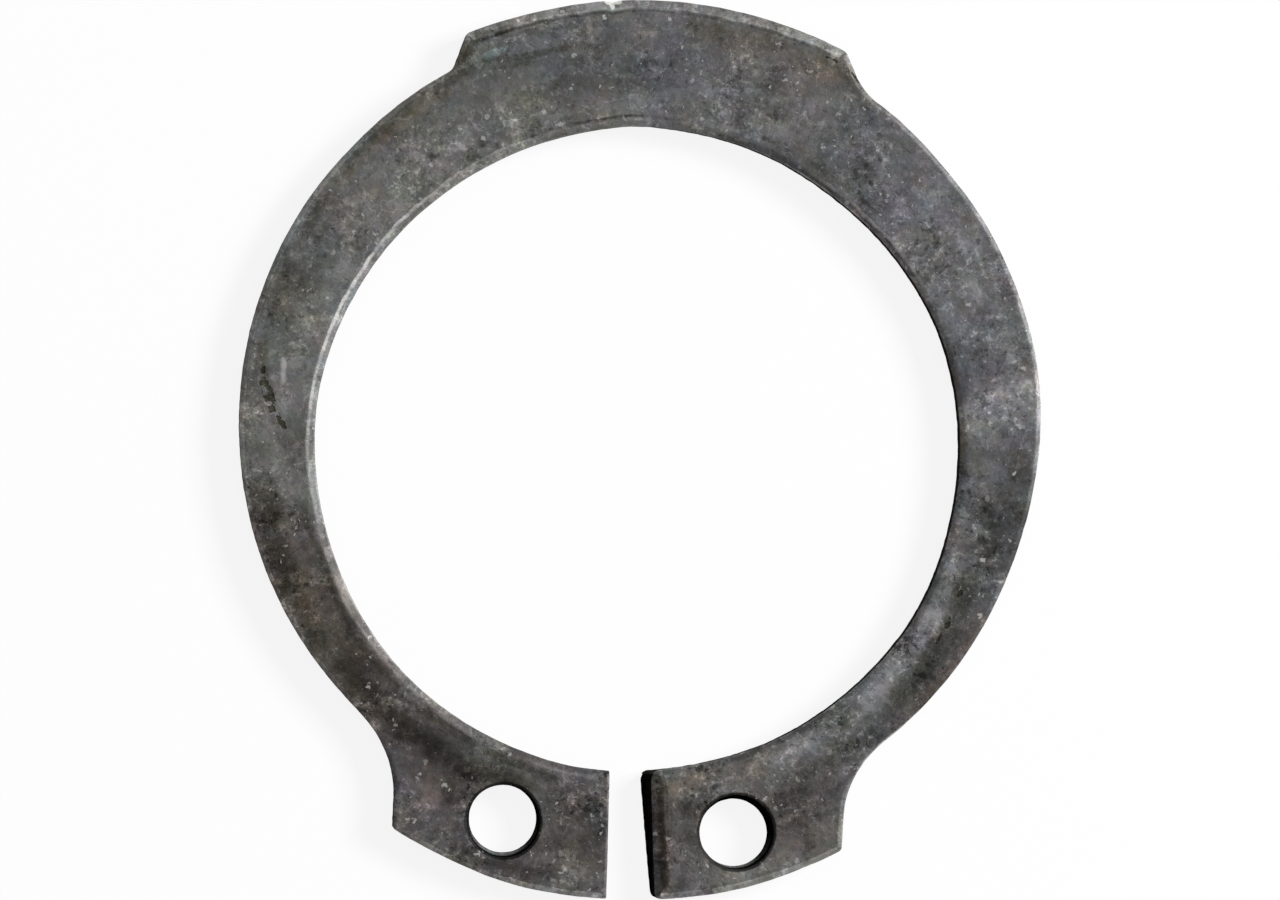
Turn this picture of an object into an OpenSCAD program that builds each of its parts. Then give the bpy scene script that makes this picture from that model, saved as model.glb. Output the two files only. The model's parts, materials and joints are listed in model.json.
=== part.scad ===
// External retaining ring, blanked from spring steel strip in one piece.
// The origin is on the bore's axis, in the plane of the flat underside.
// +Z points to the face with the rolled edges, +Y to the wide pad, -Y to the gap.

/* [Ring] */
// Diameter of the bore while the ring is free
bore_d = 18.5; // [16:0.1:22]
// Thickness of the strip
thickness = 1.2; // [0.8:0.05:1.8]
// Width of the body beside the pad, where it is widest
wide_w = 3.01; // [2.4:0.01:3.3]
// Width of the body beside the lugs, where it is narrowest
narrow_w = 1.53; // [1.2:0.01:1.9]
// How far the body's outer circle lies to the right of the bore's axis
body_shift = 0.04; // [0:0.01:0.2]
// Height of the pad and both lugs, from the bore to their outer edge
lug_h = 3.7; // [3.5:0.05:4.4]

/* [Pad] */
// Angle from the middle of the ring to the pad's left corner
pad_left_angle = 25.1; // [15:0.1:35]
// Angle from the middle of the ring to the pad's right corner
pad_right_angle = 25; // [15:0.1:35]
// Angle that the pad's left flank leans out from upright
pad_left_lean = 17; // [0:1:35]
// Angle that the pad's right flank leans out from upright
pad_right_lean = 25; // [0:1:35]
// Radius of the hollow between the pad's left flank and the body
pad_left_fillet = 0.5; // [0.3:0.05:2.5]
// Radius of the hollow between the pad's right flank and the body
pad_right_fillet = 2; // [0.3:0.05:2.5]

/* [Lugs] */
// Distance from the middle of the ring to the left lug's flank
lug_left_w = 6.48; // [5.8:0.02:7.4]
// Distance from the middle of the ring to the right lug's flank
lug_right_w = 6.46; // [5.8:0.02:7.4]
// Radius of the hollow between the left lug and the body
lug_left_fillet = 3.2; // [2:0.05:4]
// Radius of the hollow between the right lug and the body
lug_right_fillet = 3; // [2:0.05:4]

/* [Plier holes] */
// Diameter of the two holes for the pliers' tips
hole_d = 1.95; // [1.2:0.05:2.3]
// Width of the metal left between each hole and the lug's outer edge
hole_rim = 0.665; // [0.3:0.005:1]
// Angle from the middle of the gap to each hole
hole_angle = 17.1; // [15:0.1:19]

/* [Gap] */
// Distance from the middle of the ring to the left lug's end, halfway along the lug
gap_left = 0.28; // [0.1:0.01:0.8]
// Angle that the left lug's end is turned out of line with the middle of the ring
gap_left_turn = 1.3; // [0:0.1:4]
// Distance from the middle of the ring to the foot of the right lug's end, halfway along the lug
gap_right = 0.85; // [0.3:0.01:1.1]
// Angle that the right lug's end is turned out of line with the middle of the ring
gap_right_turn = 6.2; // [0:0.1:8]
// Angle that the right lug's end leans back from upright
gap_right_lean = 12; // [0:0.5:14]

/* [Rolled edges] */
// Width of the rolled edge round the bore
bore_roll = 0.3; // [0.1:0.01:0.45]
// Width of the rolled edge along the pad
pad_roll = 0.4; // [0.1:0.01:0.5]
// Width of the rolled edge along the lugs' outer ends
lug_roll = 0.18; // [0.08:0.01:0.4]
// Width of the rolled edge along the body and in the four hollows
rim_roll = 0.11; // [0.06:0.01:0.25]
// Width of the rolled edge round each hole
hole_roll = 0.1; // [0.05:0.01:0.2]
// Width of the rolled edge on the left lug's end
left_end_roll = 0.1; // [0.05:0.01:0.3]
// Width of the rolled edge on the right lug's end
right_end_roll = 0.35; // [0.1:0.01:0.45]
// Depth of a rolled edge for each unit of its width
roll_depth = 0.4; // [0.3:0.01:0.6]
// Angle at which a rolled edge leaves the flat face
roll_lead = 6; // [4:0.5:8]

/* [Hidden] */
$fn = 180;

bore_r = bore_d / 2;
body_r = bore_r + (wide_w + narrow_w) / 2;
body_centre = [body_shift, (wide_w - narrow_w) / 2];
// Radius of the circle that the pad and both lugs reach
envelope_r = bore_r + lug_h;
hole_circle_r = envelope_r - hole_rim - hole_d / 2;
// The cutters run this far past each face and edge
past = 0.5;
// The four hollows are cut this much into the flanks and the body, so that they end at a clean edge
bite = 0.02;

// Unit vector at an angle clockwise from +Y
function toward(angle) = [sin(angle), cos(angle)];

// Each shoulder is a straight flank and the hollow that it runs into, as a list of four things:
// a point on the flank, the flank's turn from -Y, the hollow's radius and the side of the flank
// that is cut away, which is 1 for +X and -1 for -X before the turn.
pad_left = [envelope_r * toward(-pad_left_angle), -pad_left_lean, pad_left_fillet, -1];
pad_right = [envelope_r * toward(pad_right_angle), pad_right_lean, pad_right_fillet, 1];
lug_left = [[-lug_left_w, -envelope_r], 180, lug_left_fillet, 1];
lug_right = [[lug_right_w, -envelope_r], 180, lug_right_fillet, -1];
shoulders = [pad_left, pad_right, lug_left, lug_right];

// Distance along a shoulder's flank, from its point to the level of its hollow's centre
function flank_l(shoulder) =
    let (
        turn = shoulder[1],
        r = shoulder[2],
        along = [sin(turn), -cos(turn)],
        start = shoulder[0] + shoulder[3] * (r - bite) * [cos(turn), sin(turn)] - body_centre,
        passing = start * along
    )
    -passing - sqrt(passing ^ 2 - start * start + (body_r + r - bite) ^ 2);

// Centre of a shoulder's hollow
function hollow_centre(shoulder) =
    let (
        turn = shoulder[1],
        out = shoulder[3] * (shoulder[2] - bite)
    )
    shoulder[0] + out * [cos(turn), sin(turn)] + flank_l(shoulder) * [sin(turn), -cos(turn)];

// Angle of a point, clockwise from +Y, between 0 and 360
function angle_of(point) = (atan2(point.x, point.y) + 360) % 360;

// Radius of the arc of a rolled edge
function roll_arc_r(w) = w * norm([1, roll_depth]) / (2 * sin(atan(roll_depth) - roll_lead));

lug_middle_r = bore_r + lug_h / 2;
gap_w = gap_left + gap_right;

// What a rolled edge takes off a square corner at the origin, with the material at -X and -Y
module roll_off(w) {
    arc_r = roll_arc_r(w);
    arc_centre = [-w - arc_r * sin(roll_lead), -arc_r * cos(roll_lead)];
    low = -w * roll_depth - w / 4;
    difference() {
        translate([arc_centre.x, low]) square([past - arc_centre.x, past - low]);
        translate(arc_centre) circle(arc_r);
    }
}

// Section of a disc with a rolled upper edge
module disc_section(r, w) {
    difference() {
        square([r, thickness]);
        translate([r, thickness]) roll_off(w);
    }
}

// Cutter for a round hole or hollow with a rolled upper edge
module flared_cutter(r, w) {
    rotate_extrude() {
        translate([0, -past]) square([r, thickness + 2 * past]);
        translate([r, thickness]) mirror([1, 0]) roll_off(w);
    }
}

// Part of the ring out to the envelope circle, between two angles clockwise from +Y
module envelope_sector(from, to, w) {
    rotate_extrude(angle = to - from, start = 90 - to) disc_section(envelope_r, w);
}

module body_disc() {
    translate(body_centre) rotate_extrude() disc_section(body_r, rim_roll);
}

module pad() {
    left = angle_of(hollow_centre(pad_left)) - 360;
    envelope_sector(left, angle_of(hollow_centre(pad_right)), pad_roll);
}

module lugs() {
    right = angle_of(hollow_centre(lug_right));
    envelope_sector(right, angle_of(hollow_centre(lug_left)), lug_roll);
}

module plier_holes() {
    for (side = [-1, 1]) {
        translate(hole_circle_r * toward(180 + side * hole_angle)) flared_cutter(hole_d / 2, hole_roll);
    }
}

// Cutter for a straight edge with a rolled upper edge, between two values of y.
// The edge's foot is at x = 0, with the material at +X.
module edge_cutter(from, to, reach, lean, w) {
    shoulder = thickness - w * roll_depth;
    translate([0, from, 0]) rotate([90, 0, 180]) mirror([1, 0, 0]) linear_extrude(to - from) {
        polygon([
            [-reach, -past],
            [-past * tan(lean), -past],
            [(thickness + past) * tan(lean), thickness + past],
            [-reach, thickness + past]
        ]);
        translate([shoulder * tan(lean), thickness]) mirror([1, 0]) roll_off(w);
    }
}

// Cutter for one shoulder. It reaches past the end of the sector that the pad or the lug is made from.
module shoulder_cutter(shoulder) {
    reach = shoulder[2] + lug_h;
    translate(hollow_centre(shoulder)) flared_cutter(shoulder[2], rim_roll);
    translate(shoulder[0]) rotate([0, 0, shoulder[1]]) mirror([shoulder[3] > 0 ? 1 : 0, 0, 0])
        edge_cutter(-flank_l(shoulder), 2 * past, reach, 0, rim_roll);
}

module gap() {
    half_l = lug_h / 2 + 2 * past;
    reach = 0.7 * gap_w;
    translate([gap_right, -lug_middle_r, 0]) rotate([0, 0, gap_right_turn])
        edge_cutter(-half_l, half_l, reach, gap_right_lean, right_end_roll);
    translate([-gap_left, -lug_middle_r, 0]) rotate([0, 0, gap_left_turn]) mirror([1, 0, 0])
        edge_cutter(-half_l, half_l, reach, 0, left_end_roll);
}

module retaining_ring() {
    color([0.33, 0.33, 0.32]) difference() {
        union() {
            body_disc();
            pad();
            lugs();
        }
        flared_cutter(bore_r, bore_roll);
        for (shoulder = shoulders) shoulder_cutter(shoulder);
        plier_holes();
        gap();
    }
}

retaining_ring();
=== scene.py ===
"""External retaining ring: the worn, darkened steel of the real thing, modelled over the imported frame.

Lengths are in millimetres and angles in degrees clockwise from +Y. The mesh is handed to Blender in
metres, and the floor and the lights are placed in metres.
"""
import json
import math

import bpy
import numpy as np
from mathutils import Matrix, Vector, kdtree, noise
from mathutils.geometry import delaunay_2d_cdt


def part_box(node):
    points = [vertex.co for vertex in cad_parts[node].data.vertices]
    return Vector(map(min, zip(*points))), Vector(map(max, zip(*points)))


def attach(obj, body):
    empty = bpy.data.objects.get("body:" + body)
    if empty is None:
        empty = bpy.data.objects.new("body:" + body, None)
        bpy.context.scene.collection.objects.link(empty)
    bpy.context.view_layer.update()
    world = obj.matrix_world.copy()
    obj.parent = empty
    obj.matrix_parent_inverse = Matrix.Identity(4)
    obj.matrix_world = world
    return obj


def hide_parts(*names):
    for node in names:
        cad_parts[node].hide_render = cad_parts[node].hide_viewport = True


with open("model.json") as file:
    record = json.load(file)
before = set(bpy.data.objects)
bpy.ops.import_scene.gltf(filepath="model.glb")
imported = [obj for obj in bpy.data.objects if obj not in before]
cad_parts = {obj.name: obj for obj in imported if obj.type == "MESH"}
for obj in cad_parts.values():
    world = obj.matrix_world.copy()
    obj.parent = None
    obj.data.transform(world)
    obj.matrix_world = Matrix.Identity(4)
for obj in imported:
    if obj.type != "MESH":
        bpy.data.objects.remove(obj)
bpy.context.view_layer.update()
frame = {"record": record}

MM = 0.001
NODE = "retaining_ring"

# Width of the body beside the pad, where it is widest
wide_w = 3.01

# Sizes that come from the frame
low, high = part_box(NODE)
mounts = {mount["name"]: mount for mount in frame["record"]["mounts"]}
thickness = (high.z - low.z) / MM
envelope_r = high.y / MM
bore_r = mounts["shaft_groove"]["dims"]["r_mm"]
body_r = (high.x - low.x) / 2 / MM
body_centre = np.array([(high.x + low.x) / 2 / MM, wide_w + bore_r - body_r])
hole_centres = [
    np.array(mounts[name]["pos_m"][:2]) / MM
    for name in ("plier_hole_left", "plier_hole_right")
]
origin = np.zeros(2)

# Each hole's mouth at the face and its foot at the underside: radius, and how far they lie off its axis
hole_mouths = ((1.05, np.array([0.02, -0.035])), (1.07, np.array([0.09, -0.035])))
hole_feet = ((0.97, np.array([0.045, 0.004])), (0.97, np.array([0.066, -0.075])))

# Flanks of the pad and the lugs: start at the outer circle, lean, and radius and side of the hollow at
# the foot
pad_left = {"angle": -25.1, "lean": -17, "hollow_r": 0.5, "side": -1}
pad_right = {"angle": 25.0, "lean": 25, "hollow_r": 2.0, "side": 1}
lug_left = {"x": -6.48, "hollow_r": 3.2, "side": 1}
lug_right = {"x": 6.46, "hollow_r": 3.0, "side": -1}

# How far to the right of the ring's middle each lug's end lies, at the bore and at the outer edge
left_end = (-0.315, -0.235)
right_end = (0.85, 1.15)
# How far the foot of the right lug's end stands out past its upper edge, at the same two places
right_foot = (0.28, 0.08)
# The foot stands out as far up to the first distance behind the end, and less and less along the second
foot_whole = 0.3
foot_fade = 0.8

# How far the outline's corners are rounded, along each side
corner_trims = {
    "left_inner": 0.06,
    "left_outer": 0.06,
    "lug": 0.1,
    "pad": 0.12,
    "right_inner": 0.34,
    "right_outer": 0.24,
}

# Stretches of the body's edge and of the bore that bulge or lie flat: middle, half width and amount
body_waves = [
    (90, 50, 0.05), (104, 15, -0.065), (82, 9, 0.02), (45, 7, -0.05),
    (74, 9, 0.035), (140, 8, 0.025), (164, 6, 0.035), (-167, 7, 0.05),
    (-140, 6, 0.045), (-118, 20, 0.025), (-46, 7, -0.03), (-16, 7, -0.03),
]
bore_waves = [
    (-170, 7, 0.03), (-136, 16, 0.035), (-112, 28, -0.035), (-84, 13, 0.05),
    (-34, 20, -0.05), (-3, 6, 0.05), (34, 9, -0.03), (67, 16, 0.085),
    (98, 34, 0.06), (118, 12, 0.055), (166, 12, -0.05),
]
# Nick in the pad's edge
nick_x = -1.33
nick_half_w = 0.16
nick_depth = 0.05
# Fine unevenness of the outline and of each hole's edge: height, length of the waves and seed
outline_waves = ((0.008, 0.35, 1.5), (0.004, 0.12, 4.5))
hole_waves = ((0.006, 0.25, 7.5), (0.006, 0.25, 10.5))

# Rolled edges: for each kind of edge, the angle, the width, and the shades of the strip, of the line
# at its inner side and of the worn fringe at its outer side. A shade below 0 is darker than the face.
# The strip's shade is mostly painted light and painted shade on the rolled strip.
edge_styles = {
    "bore": [
        (-180, 0.26, 0.1, 0.1, 0.1),
        (-165, 0.26, -0.1, 0.1, 0),
        (-150, 0.23, -0.1, -0.6, 0.1),
        (-142, 0.22, 0, -0.4, 0.2),
        (-130, 0.25, 0, 0.1, 0.3),
        (-110, 0.25, 0.15, 0, 0.3),
        (-95, 0.24, 0.15, 0.1, 0.3),
        (-80, 0.24, 0.3, 0.5, 0.1),
        (-66, 0.26, 0.6, 1.1, 0),
        (-52, 0.27, 0.5, 0.9, 0.1),
        (-35, 0.27, 1, 0.1, 0.3),
        (-20, 0.26, 1.1, 0, 0.3),
        (-15, 0.24, 0.9, -1, 0.3),
        (-2, 0.22, 0.7, -1, 0.2),
        (4, 0.22, 0.3, -0.4, 0.1),
        (10, 0.22, 0.1, 0.1, 0.1),
        (25, 0.22, -0.1, -0.1, 0.4),
        (38, 0.22, -0.1, 0.4, 0.8),
        (48, 0.22, -0.1, 0.3, 0.1),
        (65, 0.2, 0.2, 0.05, 0),
        (85, 0.2, 0.1, 0, 0),
        (110, 0.17, 0.1, 0, 0),
        (135, 0.14, 0.1, 0, 0.1),
        (160, 0.22, -0.15, -0.3, 0.2),
        (180, 0.26, 0.1, 0.1, 0.2),
    ],
    "pad": [
        (-26, 0.25, 1.2, -0.9, 0),
        (-12, 0.26, 1.2, -0.8, 0),
        (-6, 0.26, 1.2, -0.7, 0.1),
        (-1, 0.24, 0.5, -0.7, 0.1),
        (4, 0.24, 0.6, -0.8, 0),
        (9, 0.25, 1.1, -0.5, 0),
        (26, 0.25, 1, -0.5, 0.1),
    ],
    "lug": [
        (-180, 0.16, 1.9, 0, 0.3),
        (-166, 0.15, 1.6, 0, 0.1),
        (-150, 0.12, 0.9, 0, 0.1),
        (150, 0.17, 1.4, 0, 0.2),
        (170, 0.17, 1.4, 0, 0.2),
        (180, 0.17, 1.8, 0, 0.3),
    ],
    "rim": [
        (-180, 0.12, 0.7, 0, 0),
        (-156, 0.12, 0.5, 0, 0),
        (-146, 0.12, 0.1, 0, 0),
        (-134, 0.12, 0.9, 0, 0),
        (-100, 0.12, 1.2, 0, 0.1),
        (-80, 0.15, 0.9, 0, 0.1),
        (-45, 0.15, 0.9, 0, 0.1),
        (-20, 0.12, 0.5, 0, 0),
        (36, 0.12, 0.3, 0, 0),
        (66, 0.12, 0.3, 0, 0),
        (72, 0.12, 0.4, 0, 0.5),
        (87, 0.12, 0.4, 0, 0.5),
        (93, 0.12, 0.3, 0, 0),
        (130, 0.12, 0.1, 0, 0.1),
        (137, 0.12, 0.4, 0, 0.9),
        (144, 0.12, 0.4, 0, 0.3),
    ],
    "left_end": [(0, 0.06, 0.2, 0, 0.1)],
    "right_end": [(0, 0.38, -0.3, -0.6, 0)],
    "hole": [(0, 0.08, -0.8, 0, 0)],
}
# Share by which a rolled edge's width varies, the length of those waves and their seed
width_wave = (0.18, 0.9, 11.5)
# Depth of a rolled edge for each unit of its width, and how sharply it curves down
roll_depth = 0.4
roll_power = 1.25

# Painted shade and painted light on the wall below each kind of edge: below 0 darker, above 0 lighter
painted_wall_shading = {
    "hole": -0.93,
    "right_end": -0.85,
    "left_end": -0.5,
    "bore": -0.2,
    "rim": 0.5,
    "lug": 0.2,
    "pad": 0.2,
}
# Painted light on the foot of the holes' walls, on the side towards the lugs' outer edge, standing in for
# light from below: how much lighter it is, from what share of the wall's height it begins, and over what
# share it fades in
painted_foot_light = 2.4
foot_light_start = 0.25
foot_light_run = 0.3

# Spacing of the points along the outline while it is worked out, and of those that are kept
fine_step = 0.02
edge_step = 0.09
corner_step = 0.03
# Distances from the edge at which the face has rows of points
row_distances = (0.012, 0.035, 0.07, 0.11, 0.155, 0.205, 0.26, 0.32, 0.39, 0.47)
# A row's point is left out where another stretch of the edge is nearer by more than this
row_slack = 0.004
# Spacing of the points past the rows, on the face and on the underside
face_step = 0.085
under_step = 0.3
# How far each of them is moved at random, and how far the first ones stay off the rows, in spacings
grid_jitter = 0.15
grid_gap = 0.4
grid_seed = 5
# The grid starts this far inside the bore, where nothing of the ring bulges
bore_margin = 0.2
# Points round each hole
hole_points = 150
# How often the widths and shades of the rolled edges are averaged with their neighbours'
style_passes = 3
# Limits of the two distances that the materials read: past the rolled edge, and from the edge
roll_limit = 0.5
edge_limit = 2

# Shares of the wall's height at its rows of points, from its top to its foot
wall_levels = (0, 0.03, 0.08, 0.15, 0.24, 0.34, 0.45, 0.57, 0.69, 0.8, 0.9, 0.96, 1)
# The wall is torn from the first share of its height down. That sets in over the second share, and the
# torn part is set back.
tear_start = 0.3
tear_run = 0.3
tear_depth = 0.02
# Roughness of the torn wall in the holes and elsewhere, and the share, length and seed of its waves,
# with how much the seed changes down the wall
hole_tear = 0.004
edge_tear = 0.009
tear_waves = ((1, 0.16, 20, 3), (0.6, 0.07, 30, 7))
# Height of the burr that the blanking left round the underside, and the width that it covers
burr_h = 0.012
burr_w = 0.06

# Marks on the face. Each is a half width, a strength and the points of its middle line. It fades out
# at this many half widths.
mark_reach = 1.6
stains = [
    (0.24, 0.55, (-5.3, 10.7), (-6.5, 9.9), (-7.4, 9.1), (-8.4, 8.1), (-9.15, 7.1), (-9.6, 6.3), (-9.9, 5.6)),
    (0.28, 0.4, (-9.9, 5.6), (-10.3, 4.5), (-10.6, 3.4), (-10.8, 2.6)),
    (0.2, 0.55, (-10.8, 2.7), (-10.85, 2.1), (-10.8, 1.7)),
    (0.14, 0.4, (-10.8, 1.8), (-10.6, 1.2), (-10.4, 0.7), (-10.15, 0.2)),
    (0.5, 0.6, (-10.8, -1.6), (-10.2, -3.4), (-9.4, -4.9), (-8.4, -6.4), (-7.1, -7.7), (-5.9, -8.6)),
    (0.4, 0.6, (-6.6, -8.3), (-5.2, -9), (-4, -9.5), (-2.6, -9.8)),
    (0.15, 0.7, (-9.4, -2.5), (-8, -5.6), (-6.3, -7.5), (-4.1, -8.8), (-1.9, -9.6)),
    (0.2, 0.9, (-5.6, 10.9), (-5.4, 11.2)),
    (0.12, 1, (-10.25, 2.29), (-9.75, 2.33)),
    (0.13, 1.1, (-5.35, 11.5), (-4.9, 11.7), (-4.2, 11.95)),
    (0.13, 0.8, (-4.9, 11), (-3.9, 11.1), (-2.6, 11.45)),
    (0.12, 0.5, (-4.6, 10.75), (-3.4, 11)),
    (0.14, 0.45, (3.2, 9.15), (4.6, 8.5), (5.6, 7.9), (6.6, 7.1)),
    (0.3, 0.5, (0.9, 12.3), (1.8, 12.1)),
    (0.35, 0.4, (4.2, 11.8), (5.4, 11.1), (6, 10.4)),
    (0.38, 0.7, (11, 0.4), (11.1, -0.2)),
    (0.45, 0.6, (10.2, -1.4), (10.4, -2), (10.1, -2.7)),
    (0.35, 0.9, (9.7, -3.3), (9.3, -4.7), (8.6, -5.8), (7.9, -6.7)),
    (0.5, 0.5, (4.9, -9.9), (5.6, -9), (6.5, -8.3)),
    (0.4, 0.4, (-1.6, -11.6), (-0.6, -11)),
    (0.14, 0.6, (1.15, -9.6), (1.3, -11), (1.45, -12.5)),
    (0.12, 1.2, (1.3, -11.5), (1.45, -12.4)),
]
# Scuffs with a strength above 1.2 show bare metal
scuffs = [
    (0.08, 2.6, (-10.27, 2.08), (-10.26, 1.45)),
    (0.08, 2.4, (-2.72, 9.2), (-2.6, 9.24)),
    (0.07, 2.4, (-1.6, 9.46), (-1.53, 9.47)),
    (0.1, 2.2, (-4.06, 9.2), (-4.03, 9.05)),
    (0.07, 2, (-4.5, 9.72), (-4.33, 9.5)),
    (0.07, 2, (-5.6, 8.55), (-5.35, 8.36)),
    (0.3, 0.8, (-4.3, 9.6), (-4, 9)),
    (0.12, 0.9, (-2, 12.3), (-1.9, 11.6)),
    (0.3, 0.7, (3.3, 10.3), (4.1, 10.5)),
    (0.28, 0.8, (2.1, 9.9), (2.2, 9.4)),
    (0.4, 0.7, (6.6, 7.8), (7.4, 7.3), (8, 6.4)),
    (0.9, 0.3, (8.1, 7.9), (9.6, 5.4), (10.5, 2.5)),
    (0.4, 0.7, (9.7, 1.8), (11, 2.3)),
    (0.08, 0.9, (2.2, 11.6), (2.3, 11)),
    (0.1, 0.8, (-11.1, 2.6), (-11.2, 1.6)),
    (0.3, 0.4, (-10.3, -0.3), (-10.5, -1.2)),
    (0.35, 0.5, (6.3, -7.4), (5, -8.4), (3.4, -9.2)),
    (0.3, 0.4, (-6.2, -9.8), (-6, -10.8), (-5.2, -10.5)),
]
brown_marks = [
    (0.5, 0.7, (1.2, 12.2), (3, 11.8), (5, 11)),
    (0.12, 0.9, (5.9, 7.3), (8, 4.9), (9.1, 2.4), (9.35, 0.2)),
    (0.9, 0.6, (-10.3, -2.5), (-9, -5.1), (-6.4, -8.4), (-5.2, -10.1)),
    (0.5, 0.7, (1.3, -9.8), (2.3, -9.3), (4, -8.8)),
    (0.2, 0.9, (1.15, -9.5), (1.3, -11), (1.5, -12.6)),
    (0.25, 0.7, (-6, 10), (-7.6, 8.8), (-8.9, 7.2)),
    (0.2, 0.6, (9.9, -5), (8.4, -7.2)),
    (0.2, 0.9, (-5.5, 11.3), (-5.6, 10.9)),
    (0.15, 0.7, (-10.95, 2.6), (-10.87, 1.9)),
]
green_marks = [
    (0.12, 1.7, (-4.85, 11.1), (-4.6, 11.2)),
    (0.07, 1.5, (-4.6, 11.2), (-4.35, 11.35)),
    (0.25, 0.3, (-5.4, 11.3), (-5.2, 10.9)),
    (0.25, 0.35, (-6.3, -9.6), (-5.6, -10)),
    (0.1, 0.4, (-1.3, 12.6), (0.6, 12.7)),
]
chalk_spots = [
    (0.13, 1.4, (-1.45, 12.88), (-1.18, 12.9)),
    (0.07, 1.3, (-1.36, 12.78), (-1.32, 12.68)),
]
scars = [
    (0.1, 0.75, (-10.88, 1.85), (-10.82, 1.55)),
    (0.17, 0.85, (-10.8, 1.35), (-10.68, 1), (-10.54, 0.65)),
    (0.09, 0.9, (-10.5, 0.6), (-10.33, 0.38), (-10.16, 0.16)),
    (0.05, 0.7, (4.9, 11.55), (5.4, 11.35), (5.9, 10.9)),
    (0.06, 0.8, (9.55, -3.6), (9.2, -4.6), (8.8, -5.3)),
]
# Broad stretches that are lighter or darker than the rest
light_areas = [
    (0.85, 0.38, (-4.2, 9.3), (-5.2, 8.8), (-6.9, 7.4), (-8.3, 5.5)),
    (0.8, 0.5, (-8.6, 5), (-9.6, 3), (-10, 1.4), (-10.6, 0.3)),
    (0.5, 0.3, (-9.8, 5.5), (-10.3, 4)),
    (0.25, 0.2, (-9, 7.9), (-10.3, 5.6), (-11.2, 3)),
    (0.5, 0.4, (-2.7, 9.6), (-1.4, 9.7), (-0.6, 9.8)),
    (0.4, 0.25, (2.8, 10), (3.6, 9.4)),
    (0.4, 0.2, (1.9, 11.8), (2.7, 11.7)),
    (0.35, 0.2, (6.7, 8.6), (7.4, 8.3)),
    (0.5, 0.2, (2.6, 11.4), (3.8, 10.9)),
    (0.8, 0.5, (8.3, 7.6), (9.2, 6.2), (10.3, 3.8)),
    (0.6, 0.45, (8.9, 4.8), (9.4, 3.2), (9.7, 2.2)),
    (0.75, 1, (9.8, 1.6), (11.2, 2.1)),
    (0.45, 0.45, (9.5, 3.1), (9.6, 2.4)),
    (0.5, 0.2, (7.4, 6.3), (8.6, 4.4)),
    (0.4, 0.35, (10, -0.2), (10.4, -0.7)),
    (0.4, 0.45, (1.6, -9.6), (3, -9.2)),
    (0.35, 0.4, (5.8, -7.7), (6.5, -7.3)),
    (0.4, 0.6, (9.3, -3.2), (8.1, -5.6), (6.9, -7.1), (6.3, -7.8), (5.2, -8.3), (4, -9)),
    (0.5, 0.25, (-10.6, 0.6), (-10.4, -1)),
    (0.3, 0.3, (-9.85, 0.2), (-9.85, -0.5)),
    (0.25, 0.3, (10.8, -2), (10.6, -2.7)),
    (0.3, 0.25, (2.4, -12.5), (4, -12), (5.8, -11.3)),
]
dark_areas = [
    (0.55, 0.85, (-10.5, -2.4), (-10.2, -3.3), (-9.9, -4.2)),
    (0.6, 0.6, (-9.6, -2.6), (-8.9, -4.3), (-8.3, -5.2)),
    (0.6, 0.75, (-7.8, -6.7), (-6.9, -7.6), (-6.4, -8.7)),
    (0.7, 0.35, (-6.1, -9.3), (-5.9, -11)),
    (0.7, 0.22, (-10.2, -3.6), (-9.2, -5.3), (-7.9, -6.9), (-6.6, -8)),
    (0.7, 0.85, (-6.3, -8.2), (-5, -9), (-4.6, -9.4)),
    (0.35, 0.8, (-4.9, -10.3), (-4.4, -10.1)),
    (0.35, 0.8, (-4.6, -11.6), (-3.4, -12.1), (-1.9, -12.3)),
    (1.3, 0.58, (-4.2, -11.4), (-1, -10.8)),
    (1.1, 0.6, (1.6, -10.9), (5.2, -10.3)),
    (0.35, 0.75, (1.9, -10.2), (2, -11)),
    (0.6, 0.5, (10.9, -1.2), (10.4, -3.2), (9.5, -5.2), (8.2, -7.2), (7.2, -8.4)),
    (0.6, 0.2, (-3.4, 11.1), (-2, 11.6)),
    (0.35, 0.25, (-4.1, 10.4), (-3.4, 10.6)),
    (0.3, 0.25, (-5.5, 9.2), (-4.9, 9.4)),
    (0.4, 0.2, (4.1, 9.3), (4.9, 9)),
    (0.25, 0.3, (9.9, -1.4), (10, -2.1)),
]
# Crowds of fine bright specks
flecked_areas = [
    (0.35, 1, (-4.2, 9.6), (-4, 9.1)),
    (0.3, 1, (3.7, 10.3), (3.9, 10.1)),
    (0.25, 1, (2.1, 9.9), (2.15, 9.4)),
    (0.5, 1, (6.7, 7.8), (7, 7.3), (7.4, 6.5)),
    (0.3, 0.8, (10.1, 5.2), (10.4, 4.6)),
    (0.25, 0.9, (-0.55, -9.9), (-0.5, -12.4)),
    (0.3, 0.7, (-11.1, 3), (-11.2, 1.8)),
]
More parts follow.
